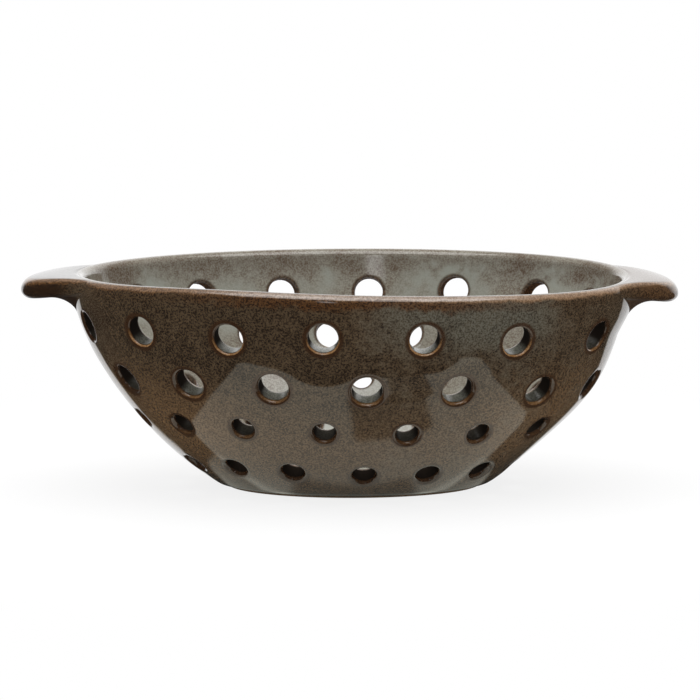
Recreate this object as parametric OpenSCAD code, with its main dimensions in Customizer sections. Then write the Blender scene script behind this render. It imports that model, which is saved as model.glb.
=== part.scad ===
// Berry colander bowl: an oval stoneware bowl with four rows of drain holes
// in its wall, a drained floor on a low foot ring, and an ear handle at each end.
// The origin is on the table under the middle of the foot.
// X runs through both handles, Y runs from front to back and Z is up.

/* [Bowl] */
// Length of the bowl over the outside of its rim
rim_l = 213; // [202:1:224]
// Width of the bowl over the outside of its rim
rim_w = 149; // [136:1:170]
// Height from the table to the top of the rim
bowl_h = 81; // [76:1:92]
// Length of the foot where it meets the table
foot_l = 98; // [88:1:108]
// Thickness of the wall
wall_t = 6; // [5:0.25:7]
// Height at which the curve of the wall would stand upright
upright_h = 106; // [98:1:125]

/* [Holes] */
// Bore of the holes in the two upper rows
upper_bore = 11; // [8:0.5:12]
// Bore of the holes in the two lower rows
lower_bore = 8; // [6:0.5:9]
// Depth of the top row below the rim
top_row_drop = 16; // [15:0.5:21]
// Height of the bottom row above the table
bottom_row_h = 12; // [11:0.5:13.5]
// Holes in each of the three upper rows
upper_row_count = 16; // [10:1:17]
// Holes in the bottom row
bottom_row_count = 15; // [8:1:16]
// Tilt of the rows, which fall a little to the right
row_tilt = 1; // [0:0.1:1.5]
// Fall of the rows from the front towards the handles
row_sag = 2.75; // [0:0.25:3]

/* [Floor and foot] */
// Thickness of the floor
floor_t = 4.5; // [3.5:0.25:5]
// Height of the foot ring, and so of the hollow under the floor
foot_h = 2.5; // [1.5:0.25:3]
// Width of the foot ring where it meets the table
foot_ring_w = 7; // [5:0.5:8]
// Bore of the drain holes in the floor
floor_bore = 7; // [5:0.5:8]
// Drain holes in the oval round the middle one
floor_hole_count = 8; // [6:1:10]

/* [Handles] */
// How far the tip of a handle stands out from the rim
handle_reach = 17.5; // [14:0.5:24]
// Thickness of a handle at its tip
handle_t = 7.4; // [5:0.2:8.4]
// Width over which a handle leaves the rim
handle_root_w = 58; // [50:1:64]
// Fall of the tip of a handle below the rim
handle_droop = 2.6; // [0:0.1:4]
// Height of the hollow under a handle where it meets the wall
handle_hollow_h = 6; // [3:0.2:6.6]
// Reach of that hollow along the underside of the handle
handle_hollow_reach = 9; // [6:0.5:10]

/* [Hidden] */

// Glaze and clay colours
glaze = "#5a5248";
edge_glaze = "#7a5230";
inner_glaze = "#7d8378";
clay = "#b59a7c";

// Fineness of round surfaces, and the overrun of a cut past a face
round_steps = 240;
bore_steps = 48;
ring_steps = 96;
lip_steps = 10;
foot_steps = 2;
overrun = 1;
// Film of glaze between a handle and what it is joined to
seat_gap = 0.05;

// Curve of the outside of the wall: an ellipsoid through the foot and the rim.
// Its middle stands at upright_h, and lip_z is where the rounded lip begins.
lip_r = wall_t / 2;
lip_z = bowl_h - lip_r;
rim_to_foot = pow(rim_l / foot_l, 2);
over_lip = upright_h - lip_z;
outer_c = sqrt((rim_to_foot * pow(upright_h, 2) - pow(over_lip, 2)) / (rim_to_foot - 1));
outer_a = rim_l / 2 / sqrt(1 - pow(over_lip / outer_c, 2));
outer_b = outer_a * rim_w / rim_l;
inner_a = outer_a - wall_t;
inner_b = outer_b - wall_t;
inner_c = outer_c - wall_t;

// Share of its full plan size that an ellipsoid of half height c has at height z
function level_share(z, c) = sqrt(1 - pow((upright_h - z) / c, 2));

// Half length, half width and height of the outside and of the inside of the wall at height z
function outer_oval(z) = [outer_a * level_share(z, outer_c), outer_b * level_share(z, outer_c), z];
function inner_oval(z) = [inner_a * level_share(z, inner_c), inner_b * level_share(z, inner_c), z];

// Length along an oval of unit length, from the front, against the angle round it
arc_steps = 360;
oval_ratio = rim_w / rim_l;
function arc_rate(angle) = sqrt(pow(cos(angle), 2) + pow(oval_ratio * sin(angle), 2));
arc_table = [for (i = 0, run = 0; i <= arc_steps; run = run + arc_rate(i), i = i + 1) [run, i]];
arc_total = arc_table[arc_steps][0];
// Angle round the oval at a share of the way round it, so that equal shares are equal lengths
function angle_at(share) = lookup((share - floor(share)) * arc_total, arc_table);

// The four rows of holes from the top: height, bore, number and the place of a hole near the front.
// That place is a share of the step from one hole to the next.
middle_row_shares = [0.63, 0.32];
row_phase_shares = [-0.3, 0.145, -0.36, 0.13];
// The hand spaced the holes wider at the front than at the ends, by this share of a step.
// The holes at the back are spaced wider again and shifted round, by these shares of a step.
front_spread_share = 0.065;
back_spread_share = 0.085;
back_shift_share = 0.13;
// The rows lie level at the back, each lower than its front by this share of its height.
// They lose their tilt and sag behind the handles, as fast as this share of the cosine grows.
back_drop_shares = [0.026, -0.024, 0, 0];
back_level_share = 1.4;
top_row_h = bowl_h - top_row_drop;
row_span = top_row_h - bottom_row_h;
row_heights = [top_row_h, bottom_row_h + row_span * middle_row_shares[0],
    bottom_row_h + row_span * middle_row_shares[1], bottom_row_h];
row_bores = [upper_bore, upper_bore, lower_bore, lower_bore];
row_counts = [upper_row_count, upper_row_count, upper_row_count, bottom_row_count];

// Angle round the bowl of a hole of a row, counted from the front
function hole_angle(i, row) =
    let (even_share = (i + row_phase_shares[row]) / row_counts[row])
    let (back_share = (1 - cos(360 * even_share)) / 2)
    let (spread = front_spread_share - back_spread_share * pow(back_share, 2))
    let (shift = back_shift_share / row_counts[row] * back_share)
    angle_at(even_share + spread * sin(360 * even_share) / (2 * PI) + shift);

// Height of a hole of a row at an angle round the bowl
function hole_height(angle, row) =
    let (front_share = max(0, min(1, 1 + back_level_share * cos(angle))))
    let (tilt_fall = outer_oval(row_heights[row])[0] * sin(angle) * tan(row_tilt))
    let (sag_fall = row_sag * pow(sin(angle), 2))
    let (back_fall = back_drop_shares[row] * row_heights[row])
    row_heights[row] - front_share * (tilt_fall + sag_fall) - (1 - front_share) * back_fall;

// Drain holes in the floor stand on an oval this share of the floor's own size
floor_oval_share = 0.58;

// A handle is drawn as sections along rays that fan out from a point inside the bowl.
// At the ends of the fan a handle has run out into the rim.
fan_depth = handle_root_w / 2;
fan_x = rim_l / 2 - fan_depth;
rim_end_x = rim_l / 2 * sqrt(1 - pow(handle_root_w / rim_w, 2));
fan_angle = atan2(handle_root_w / 2, rim_end_x - fan_x);
ray_count = 33;
// The last ray stops short of the end of the fan by this share, where the handle is a hair thick
fan_end_share = 0.95;
tip_steps = 8;
hollow_steps = 6;

// Distance along a ray of the fan to an oval of half length a and half width b
function ray_hit(angle, a, b) =
    let (p = pow(cos(angle) / a, 2) + pow(sin(angle) / b, 2))
    let (h = fan_x * cos(angle) / pow(a, 2))
    (sqrt(pow(h, 2) - p * (pow(fan_x / a, 2) - 1)) - h) / p;
// Distance along a ray to the outside and to the inside of the wall at height z
function ray_outer(angle, z) = ray_hit(angle, outer_oval(z)[0], outer_oval(z)[1]);
function ray_inner(angle, z) = ray_hit(angle, inner_oval(z)[0], inner_oval(z)[1]);
// How far a handle stands out from the rim along a ray
function stand_out(angle) = handle_reach * pow(cos(90 * angle / fan_angle), 2);

// Outline of a handle on one ray, from the crest of the rim over the tip to the wall below.
// Each point is its distance out from the rim and its height, before droop and lean.
// The hollow under a handle shrinks with it towards the ends of the fan.
function ear_outline(angle) =
    let (out = stand_out(angle))
    let (grown_share = out / handle_reach)
    let (crest = (ray_outer(angle, lip_z) - ray_inner(angle, lip_z)) / 2)
    let (r = lip_r + (handle_t / 2 - lip_r) * grown_share)
    let (tip_r = crest + (r - crest) * grown_share)
    let (mid_z = bowl_h - r)
    let (hollow_h = handle_hollow_h * grown_share)
    let (hollow_r = max(hollow_h, min(out - tip_r, handle_hollow_reach)))
    let (end_angle = -acos(max(0, (hollow_r + tip_r - out) / (hollow_r + tip_r))))
    let (end_z = mid_z + r * sin(end_angle))
    let (hollow_z = end_z + hollow_h * sin(end_angle))
    concat(
        [[-crest, bowl_h]],
        [for (i = [0:tip_steps]) let (turn = 90 + (end_angle - 90) * i / tip_steps)
            [out - tip_r + tip_r * cos(turn), mid_z + r * sin(turn)]],
        [for (i = [0:hollow_steps]) let (turn = 180 + end_angle * (1 - i / hollow_steps))
            [seat_gap + hollow_r * (1 + cos(turn)), hollow_z + hollow_h * sin(turn)]]);

// The same outline drooped towards the tip, and leaning as the wall below the rim does
function ear_face(angle) =
    let (out = stand_out(angle))
    let (rim_at = ray_outer(angle, lip_z))
    [for (p = ear_outline(angle))
        let (lean = p[1] < lip_z ? ray_outer(angle, p[1]) - rim_at : 0)
        let (near_share = 1 - max(0, min(1, p[0] / out)))
        let (droop = handle_droop * pow(max(0, p[0]) / handle_reach, 2))
        [rim_at + p[0] + lean * near_share, p[1] - droop]];

// The face that a handle turns to the bowl: up the wall and over the outer half of the lip
function ear_seat(angle) =
    let (face = ear_outline(angle))
    let (last = len(face) - 1)
    let (rim_at = ray_outer(angle, lip_z))
    let (crest = -face[0][0])
    let (foot_z = face[last][1])
    let (over_lip_steps = floor(last / 2))
    [for (i = [1:last - 1])
        let (up_share = (last - i) / (last - over_lip_steps))
        let (z = foot_z + (lip_z - foot_z) * up_share)
        let (turn = 90 * (1 - i / over_lip_steps))
        i > over_lip_steps
        ? [ray_outer(angle, z) + seat_gap, z]
        : [rim_at - crest + (crest + seat_gap) * cos(turn), lip_z + lip_r * sin(turn)]];

// A point at a distance out along a ray of the fan
function fan_point(angle, p) = [fan_x + p[0] * cos(angle), p[0] * sin(angle), p[1]];

module ellipsoid(a, b, c) {
    translate([0, 0, upright_h])
        scale([1, b / a, c / a])
            sphere(r = a, $fn = round_steps);
}

// A slab between two heights, wide enough for the whole bowl
module slab(low, high) {
    translate([-outer_a, -outer_b, low])
        cube([2 * outer_a, 2 * outer_b, high - low]);
}

// A drill set square to the outside of the wall at an angle round it and a height
module wall_drill(angle, z, bore) {
    x = outer_oval(z)[0] * sin(angle);
    y = -outer_oval(z)[1] * cos(angle);
    slope = [x / pow(outer_a, 2), y / pow(outer_b, 2), (z - upright_h) / pow(outer_c, 2)];
    square = slope / norm(slope);
    translate([x, y, z])
        rotate([0, acos(square[2]), atan2(square[1], square[0])])
            translate([0, 0, -2 * wall_t])
                cylinder(h = 3 * wall_t, d = bore, $fn = bore_steps);
}

module row_drills(row) {
    for (i = [0:row_counts[row] - 1]) {
        angle = hole_angle(i, row);
        wall_drill(angle, hole_height(angle, row), row_bores[row]);
    }
}

module bowl_wall() {
    color(glaze)
        difference() {
            intersection() {
                ellipsoid(outer_a, outer_b, outer_c);
                slab(foot_h, lip_z);
            }
            ellipsoid(inner_a, inner_b, inner_c);
            for (row = [0:len(row_counts) - 1])
                row_drills(row);
        }
}

// A closed ring whose section is a loop of ovals: half length, half width and height of each
module oval_ring(ovals) {
    count = len(ovals);
    points = [for (i = [0:ring_steps - 1]) for (oval = ovals)
        let (angle = 360 * i / ring_steps)
        [oval[0] * cos(angle), oval[1] * sin(angle), oval[2]]];
    faces = [for (i = [0:ring_steps - 1]) for (j = [0:count - 1])
        let (next_i = (i + 1) % ring_steps)
        let (next_j = (j + 1) % count)
        let (a = i * count + j)
        let (b = next_i * count + j)
        let (c = next_i * count + next_j)
        let (d = i * count + next_j)
        each [[a, c, b], [a, d, c]]];
    polyhedron(points = points, faces = faces);
}

// The rounded lip that stands on the top of the wall all round
module rim_lip() {
    middle = (outer_oval(lip_z) + inner_oval(lip_z)) / 2;
    half = (outer_oval(lip_z) - inner_oval(lip_z)) / 2;
    color(edge_glaze)
        oval_ring([for (i = [0:lip_steps])
            let (turn = 180 * i / lip_steps)
            middle + half * cos(turn) + [0, 0, lip_r * sin(turn)]]);
}

module bowl_floor() {
    floor_z = foot_h + floor_t;
    hole_oval = floor_oval_share * inner_oval(foot_h);
    color(inner_glaze)
        difference() {
            intersection() {
                ellipsoid(inner_a, inner_b, inner_c);
                slab(foot_h, floor_z);
            }
            for (i = [0:floor_hole_count])
                translate(i == 0 ? [0, 0, 0] :
                    [hole_oval[0] * cos(360 * i / floor_hole_count),
                     hole_oval[1] * sin(360 * i / floor_hole_count), 0])
                    translate([0, 0, foot_h - overrun])
                        cylinder(h = floor_t + 2 * overrun, d = floor_bore, $fn = bore_steps);
        }
}

// The bare clay ring under the wall, which carries the bowl on the table
module foot_ring() {
    hollow = outer_oval(0) - [foot_ring_w, foot_ring_w, 0];
    color(clay)
        oval_ring(concat(
            [for (i = [0:foot_steps]) outer_oval(foot_h * i / foot_steps)],
            [hollow + [0, 0, foot_h], hollow]));
}

// A handle at the right end of the bowl
module handle() {
    last_ray = ray_count - 1;
    rays = [for (i = [0:last_ray]) fan_angle * fan_end_share * (2 * i / last_ray - 1)];
    sections = [for (angle = rays)
        let (face = ear_face(angle))
        let (seat = ear_seat(angle))
        concat([for (p = face) fan_point(angle, p)],
            [for (i = [len(seat) - 1:-1:0]) fan_point(angle, seat[i])])];
    face_count = len(ear_face(0));
    count = len(sections[0]);
    points = [for (s = sections) each s];
    skin = [for (i = [0:last_ray - 1]) for (j = [0:count - 1])
        let (a = i * count + j)
        let (b = i * count + (j + 1) % count)
        each [[a, a + count, b + count], [a, b + count, b]]];
    cap = [for (j = [0:face_count - 2])
        let (near = (count - j) % count)
        let (far = count - j - 1)
        each concat(j > 0 ? [[j, j + 1, near]] : [[j, j + 1, far]],
            j > 0 && j < face_count - 2 ? [[near, j + 1, far]] : [])];
    far_cap = [for (f = cap) [for (k = [2:-1:0]) f[k] + last_ray * count]];
    color(glaze)
        polyhedron(points = points, faces = concat(skin, cap, far_cap));
}

module right_handle() {
    handle();
}

module left_handle() {
    mirror([1, 0, 0])
        handle();
}

bowl_wall();
rim_lip();
bowl_floor();
foot_ring();
left_handle();
right_handle();
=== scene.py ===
# Berry colander bowl: the glazed pieces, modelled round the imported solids.
# Lengths are in metres. X runs through both ears, Y from front to back, and Z is up.
import math
from functools import partial

import bpy
import numpy as np
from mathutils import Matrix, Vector


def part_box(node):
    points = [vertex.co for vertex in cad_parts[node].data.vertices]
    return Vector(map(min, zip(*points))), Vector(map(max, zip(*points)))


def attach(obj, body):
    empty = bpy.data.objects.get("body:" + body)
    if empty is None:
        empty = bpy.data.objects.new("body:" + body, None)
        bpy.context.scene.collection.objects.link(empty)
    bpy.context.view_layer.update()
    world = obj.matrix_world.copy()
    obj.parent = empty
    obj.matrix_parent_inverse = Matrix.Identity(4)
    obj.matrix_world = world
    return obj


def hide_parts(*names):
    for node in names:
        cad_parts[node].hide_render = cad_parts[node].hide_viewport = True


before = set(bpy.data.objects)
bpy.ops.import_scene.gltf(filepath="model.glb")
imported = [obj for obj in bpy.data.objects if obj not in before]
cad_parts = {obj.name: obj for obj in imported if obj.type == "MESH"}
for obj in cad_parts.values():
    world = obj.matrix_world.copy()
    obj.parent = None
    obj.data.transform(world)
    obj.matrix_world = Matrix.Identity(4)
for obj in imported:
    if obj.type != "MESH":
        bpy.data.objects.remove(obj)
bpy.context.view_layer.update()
MM = 0.001
FULL_TURN = 2 * np.pi


def mm(*lengths):
    """Lengths in millimetres, as metres."""
    return tuple(length * MM for length in lengths)


# Sizes of the bowl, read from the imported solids
WALL_LOW, WALL_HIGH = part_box("bowl_wall")
RIM_A, RIM_B, LIP_Z = WALL_HIGH
OVAL = RIM_B / RIM_A
BOWL_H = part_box("rim_lip")[1].z
WALL = 2 * (BOWL_H - LIP_Z)
FOOT_H = WALL_LOW.z
FOOT_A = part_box("foot_ring")[1].x
FLOOR_A, FLOOR_B, FLOOR_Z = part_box("bowl_floor")[1]

# Curve of the wall: an ellipsoid whose middle stands at UPRIGHT, a little fuller near the rim
UPRIGHT = 106 * MM
BELLY = 0.8 * MM
rim_to_foot = (RIM_A / FOOT_A) ** 2
CURVE_C = math.sqrt((rim_to_foot * (UPRIGHT - FOOT_H) ** 2 - (UPRIGHT - LIP_Z) ** 2) / (rim_to_foot - 1))
CURVE_A = RIM_A / math.sqrt(1 - ((UPRIGHT - LIP_Z) / CURVE_C) ** 2)

# The wall is thin above one height and thick below another
THICK_WALL = 8.2 * MM
THIN_ABOVE = 74 * MM
THICK_BELOW = 46 * MM

# Waves of the hands in the wall: depth, waves round the bowl, radians per metre of height, phase
WAVES = [(0.12 * MM, 5, 60, 0.4), (0.07 * MM, 11, -90, 2.1), (0.03 * MM, 23, 160, 1.0)]
# Thumb dents: turn from the front in degrees, height, spread, depth; a depth below 0 is a swelling
DENTS = [(-8, *mm(43, 9, -1.2)), (19, *mm(46, 9, -0.5)), (26, *mm(52, 8, 0.5))]
# How these fade out: lengths above the foot and under the rim, and a power towards the ears
MARKS_FADE_LOW = 10 * MM
MARKS_FADE_HIGH = 14 * MM
MARKS_TO_EARS = 8
# Wave in the wall at the right end: depth, height of its crest, length, top, fades there and above the foot
END_WAVE = mm(1.3, 36, 50, 67, 9, 6)
# Power with which it fades to the sides
END_WAVE_NARROW = 4

# The lip: its band down both faces of the wall, and quads over that band and over the round
LIP_BAND = 1.2 * MM
LIP_BAND_ROWS = 2
LIP_STEPS = 16
LIP_ARC = np.pi / 2 * WALL / 2
# Dips of the rim: turn in degrees, spread in degrees, depth; the second is a rise
RIM_DIPS = [(62, 42, 2.5 * MM), (-28, 26, -1.3 * MM)]

# Rows of holes from the top: height, drop at the back, bore, number of holes, place of the first
ROWS = [
    (*mm(65, 1.7, 11), 16, -0.3),
    (*mm(45.4, -1.1, 11), 16, 0.145),
    (*mm(29, 0, 8), 16, -0.36),
    (*mm(12, 0, 8), 15, 0.13),
]
# Rounding of the edges of each row's holes, how amber they are, and how much the bottoms of the holes are
# pale with pooled glaze and painted light
HOLE_ROUNDS = mm(1.2, 1.7, 1.5, 1.8)
HOLE_AMBERS = [1, 0.66, 0.52, 0.4]
HOLE_LIT_POOLS = [0.9, 0.75, 0.12, 0]
# Reach of the dark ring past the rounded edge of a hole, and its fade in the bore
EDGE_REACH = 3.2 * MM
EDGE_FADE = 0.4 * MM
# Where the bore turns dark, painted shade over its darker glaze: share of the rounded edge, and the length
# over which it does
THROAT_START = 0.6
THROAT_FADE = 0.5 * MM
# Share of the way down round the bore at which glaze pools and painted light begins, and over which it does
LIT_POOL_START = 0.72
LIT_POOL_FADE = 0.2
# How far to the sides the edges of holes are amber
AMBER_FACING = 1.8
# Holes that the hand set off their place: row and number, then along and up
OFF_PLACE = {
    (0, 2): mm(-0.9, -0.8),
    (0, 3): mm(4.0, -1.0),
    (0, 6): mm(-3.0, 0.3),
    (0, 7): mm(-0.2, 0.9),
    (0, 10): mm(1.0, 0),
    (0, 13): mm(-0.8, -1.3),
    (0, 15): mm(1.2, -1.1),
    (1, 0): mm(0, -0.5),
    (1, 2): mm(2.2, -1.3),
    (1, 3): mm(3.0, -1.2),
    (1, 7): mm(1.6, 0),
    (1, 8): mm(0.5, 0),
    (1, 9): mm(0.8, 0),
    (1, 13): mm(-2.2, -0.5),
    (1, 14): mm(-1.2, 0.3),
    (1, 15): mm(-1.0, 0),
    (2, 0): mm(-0.3, -0.9),
    (2, 1): mm(1.0, -1.2),
    (2, 2): mm(0, -1.1),
    (2, 8): mm(3.4, 0),
    (2, 15): mm(-1.9, 0),
    (3, 0): mm(0.6, -1.8),
    (3, 1): mm(0.2, -1.1),
    (3, 2): mm(-0.8, 0),
    (3, 14): mm(-1.4, -0.9),
}
# Rows tilt and sag at the front, lie level at the back, and are spread at the front
ROW_TILT = math.tan(math.radians(1))
ROW_SAG = 2.75 * MM
BACK_LEVEL = 1.4
FRONT_SPREAD = 0.065
BACK_SPREAD = 0.085
BACK_SHIFT = 0.13 / 16
# Lines between the rows
ROW_LINES = mm(73.7, 55.2, 36.6, 20.2)
LAST_LINE = 3.4 * MM
# Quads round the bowl, a number that both counts of holes divide
COLUMNS = 240
# Quads up the sides of a tile
TILE_ROWS = 8
# Rings of a tile towards its hole: how round each is, and its size beside the last
TILE_RINGS = [(0.35, 0.83), (0.6, 0.8), (1, 0.95)]
# Size of the innermost beside the rounded edge of the hole, and the steps of that round
TILE_LAST_RING = 1.1
EDGE_TURNS = np.radians([15, 30, 45, 60, 75, 90])
# Quads up the plain strips above and below the tiles
TOP_STRIP_ROWS = 3
BOTTOM_STRIP_ROWS = 2
# Heights between which the open edges of the wall lie, under the lip and on the foot
TOP_EDGES = (LIP_Z - 10 * MM, BOWL_H)
BOTTOM_EDGES = (0, FLOOR_Z + 3 * MM)
WELD = 0.01 * MM
# Tries that bring the points of a drilled hole onto the wall
DRILL_TRIES = 4

# Ears: the side, how far each stands out and how far its tip droops
LEFT_EAR = (-1, *mm(18.4, 2.6))
RIGHT_EAR = (1, *mm(15.8, 3.2))
EAR_T = 7.4 * MM
EAR_ROOT_T = 9.2 * MM
EAR_ROOT_W = 58 * MM
EAR_HOLLOW_H = 6 * MM
EAR_HOLLOW_REACH = 9 * MM
# The ends of an ear sink into the wall by this much, and no section is quite empty
EAR_SINK = 0.08 * MM
EAR_SINK_FADE = 6
EAR_LEAST = 1e-6
# How far the hidden back of an ear lies in the wall, at its root and at the crest: inward, down
EAR_ROOT_INSET = np.array(mm(0.8, 0.2))
EAR_CREST_INSET = np.array(mm(1.6, 1.6))
EAR_WELD = 0.001 * MM
EAR_RAYS = 80
EAR_TIP_STEPS = 20
EAR_HOLLOW_STEPS = 12
EAR_TOP_STEPS = 8
# Share of its reach at which an ear has its own colour
EAR_BLEND = 0.4
# The underside of an ear begins between these turns of its rounded edge
UNDER_FROM = math.radians(40)
UNDER_FULL = math.radians(70)
# Turns of the rim round an ear, and the fan in which its sections lie
EAR_TURNS = np.radians(np.linspace(20, 160, 281))
FAN_X = RIM_A - EAR_ROOT_W / 2
RIM_END_X = RIM_A * math.sqrt(1 - (EAR_ROOT_W / 2 / RIM_B) ** 2)
FAN_ANGLE = math.atan2(EAR_ROOT_W / 2, RIM_END_X - FAN_X)

# The floor, its cove up to the wall, and its drain holes
FLOOR_SIDES = 160
FLOOR_INSET = 2 * MM
COVE_H = 4.5 * MM
COVE_REACH = 9 * MM
COVE_SEAT = 0.4 * MM
COVE_TURNS = np.radians([30, 50, 65, 78, 90])
COVE_IN = 1.2
COVE_DOWN = 1.3
FLOOR_BORE = 7 * MM
FLOOR_HOLES = 8
FLOOR_OVAL = 0.58
DRILL_SIDES = 48
DRILL_LENGTH = 20 * MM
DRAIN_ROUND = 0.9 * MM
DRAIN_ROUND_STEPS = 4
DRAIN_ROUND_ANGLE = math.radians(60)
# Heights at which the inside of the wall is measured, from this one up
INNER_STEPS = 25
INNER_LOWEST = 0.1 * MM

# The foot ring: its width, the round outside, and the small round inside
FOOT_RING_W = 7 * MM
FOOT_ROUND = 1.6 * MM
FOOT_ROUND_IN = 0.9
FOOT_TURNS = np.radians([20, 40, 60, 75, 90])
FOOT_INNER_ROUND = 1.2 * MM
FOOT_INNER_STEP = 0.4 * MM

# Faces that meet at less than these angles, in degrees, are shaded as one
SMOOTH = 50
FLOOR_SMOOTH = 40


# The surface of the wall

def lerp(a, b, share):
    return a + (b - a) * share


def faded(length, over):
    """0 at no length, rising to 1 over a length."""
    return np.clip(length / over, 0, 1)


def unit(vectors):
    return vectors / np.linalg.norm(vectors, axis=-1, keepdims=True)


def turn_from(turn, at):
    """How far a turn lies from one that is given in degrees, the short way round."""
    return (turn - math.radians(at) + np.pi) % FULL_TURN - np.pi


def half_length(z):
    level = np.sqrt(1 - ((UPRIGHT - z) / CURVE_C) ** 2)
    return CURVE_A * level - BELLY * np.sin(FULL_TURN * z / BOWL_H)


def hand_marks(turn, z):
    """How far the hands pushed the wall in. It fades out at the rim and at the foot."""
    marks = 0
    for depth, round_waves, up_waves, phase in WAVES:
        marks = marks + depth * np.sin(round_waves * turn + up_waves * z + phase)
    for at, height, spread, depth in DENTS:
        along = turn_from(turn, at) * half_length(height)
        marks = marks + depth * np.exp(-(along ** 2 + (z - height) ** 2) / spread ** 2)
    marks = marks * (1 - np.sin(turn) ** MARKS_TO_EARS)
    marks = marks * faded(z - FOOT_H, MARKS_FADE_LOW) * faded(BOWL_H - z, MARKS_FADE_HIGH)
    depth, crest, length, top, fade_high, fade_low = END_WAVE
    at_end = np.clip(np.sin(turn), 0, 1) ** END_WAVE_NARROW
    end_wave = depth * np.cos(FULL_TURN * (z - crest) / length) * at_end
    return marks - end_wave * faded(top - z, fade_high) * faded(z - FOOT_H, fade_low)


def skin(turn, z):
    """A point on the outside of the wall. Turn 0 is the front."""
    a = half_length(z) - hand_marks(turn, z)
    return np.stack([a * np.sin(turn), -OVAL * a * np.cos(turn), z + 0 * turn], axis=-1)


def skin_slopes(turn, z):
    small_turn = 1e-3
    small_z = 0.1 * MM
    around = (skin(turn + small_turn, z) - skin(turn - small_turn, z)) / (2 * small_turn)
    up = (skin(turn, z + small_z) - skin(turn, z - small_z)) / (2 * small_z)
    return around, up


def square_out(turn, z):
    around, up = skin_slopes(turn, z)
    return unit(np.cross(around, up))


def thickness(z):
    """Thickness of the wall at a height: the potter left it thicker below the top row of holes."""
    down = faded(THIN_ABOVE - z, THIN_ABOVE - THICK_BELOW)
    return WALL + (THICK_WALL - WALL) * down * down * (3 - 2 * down)


# Places round the bowl: equal shares are equal lengths, spread at the front by the hand

ARC_STEPS = 1440
arc_turns = np.linspace(0, FULL_TURN, ARC_STEPS + 1)
arc_rates = np.hypot(np.cos(arc_turns), OVAL * np.sin(arc_turns))
arc_runs = np.concatenate([[0], np.cumsum((arc_rates[1:] + arc_rates[:-1]) / 2)])
ARC_SHARES = arc_runs / arc_runs[-1]


def turn_at(even_share):
    back = (1 - np.cos(FULL_TURN * even_share)) / 2
    spread = FRONT_SPREAD - BACK_SPREAD * back ** 2
    share = even_share + spread * np.sin(FULL_TURN * even_share) / FULL_TURN + BACK_SHIFT * back
    whole = np.floor(share)
    return np.interp(share - whole, ARC_SHARES, arc_turns) + FULL_TURN * whole


def row_line(height, turn, back_drop=0):
    """Height of a row, or of a line between rows: it tilts and sags, and lies level at the back."""
    front = np.clip(1 + BACK_LEVEL * np.cos(turn), 0, 1)
    fall = ROW_TILT * half_length(height) * np.sin(turn) + ROW_SAG * np.sin(turn) ** 2
    return height - front * fall - (1 - front) * back_drop


def tile_edge(row, turn):
    """Height of the edge above a row of tiles."""
    if row == len(ROW_LINES):
        return LAST_LINE + 0 * turn
    return row_line(ROW_LINES[row], turn)


def foot_line(turn):
    return FOOT_H + 0 * turn


def lip_start(turn):
    """Height at which the rounding of the lip begins, so that its crest lies level but for the dips."""
    lean = -square_out(turn, LIP_Z + 0 * turn)[..., 2]
    start = BOWL_H - WALL / 2 * (1 + lean)
    for at, spread, depth in RIM_DIPS:
        aside = np.degrees(turn_from(turn, at))
        start = start - depth * np.exp(-(aside / spread) ** 2)
    return start


def wall_top(turn):
    return lip_start(turn) - LIP_BAND


def below_crest(turn, z, depth):
    """Length down the wall from the crest of the rim, counted as negative on the inside."""
    down = LIP_ARC + lip_start(turn) - z
    return down * (1 - 2 * depth / WALL)


# Work on meshes

def start_piece(name):
    piece = bpy.context.object
    piece.name = name
    piece.data.name = name
    return piece


def points_of(piece):
    flat = np.empty(len(piece.data.vertices) * 3, np.float32)
    piece.data.vertices.foreach_get("co", flat)
    return flat.reshape(-1, 3).astype(float)


def move_points(piece, points):
    piece.data.vertices.foreach_set("co", points.astype(np.float32).ravel())
    piece.data.update()


def mark_points(piece, name, values):
    """Stores one number a point, which the glaze reads."""
    marks = piece.data.attributes.get(name) or piece.data.attributes.new(name, "FLOAT", "POINT")
    marks.data.foreach_set("value", np.asarray(values, np.float32))


def weaken_marks(piece, name, share):
    values = np.empty(len(piece.data.vertices), np.float32)
    piece.data.attributes[name].data.foreach_get("value", values)
    mark_points(piece, name, values * share)


def unselect():
    bpy.ops.object.select_all(action="DESELECT")


def settle():
    bpy.ops.object.transform_apply(location=True, rotation=True, scale=True)


def grid(name, columns, rows):
    """A flat sheet from 0 to 1 both ways, to be shaped."""
    unselect()
    middle = (0.5, 0.5, 0)
    bpy.ops.mesh.primitive_grid_add(x_subdivisions=columns, y_subdivisions=rows, size=1, location=middle)
    settle()
    return start_piece(name)


def oval(name, sides, a, b, z, fill):
    unselect()
    bpy.ops.mesh.primitive_circle_add(vertices=sides, radius=1, fill_type=fill, location=(0, 0, z))
    bpy.ops.transform.resize(value=(a, b, 1))
    settle()
    return start_piece(name)


def pick(piece):
    unselect()
    piece.select_set(True)
    bpy.context.view_layer.objects.active = piece


def edit(piece):
    pick(piece)
    bpy.ops.object.mode_set(mode="EDIT")


def edit_all(piece):
    edit(piece)
    bpy.ops.mesh.select_all(action="SELECT")


def done():
    bpy.ops.object.mode_set(mode="OBJECT")


def draw_along(a, b, z, outline):
    """Extrudes the selected oval through a list of half lengths, half widths and heights."""
    for new_a, new_b, new_z in outline:
        bpy.ops.mesh.extrude_region_move(TRANSFORM_OT_translate={"value": (0, 0, new_z - z)})
        bpy.ops.transform.resize(value=(new_a / a, new_b / b, 1))
        a, b, z = new_a, new_b, new_z


def weld(piece, distance=WELD):
    edit_all(piece)
    bpy.ops.mesh.remove_doubles(threshold=distance)
    done()


def join(pieces, name):
    unselect()
    for piece in pieces:
        piece.select_set(True)
    bpy.context.view_layer.objects.active = pieces[0]
    bpy.ops.object.join()
    return start_piece(name)


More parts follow.
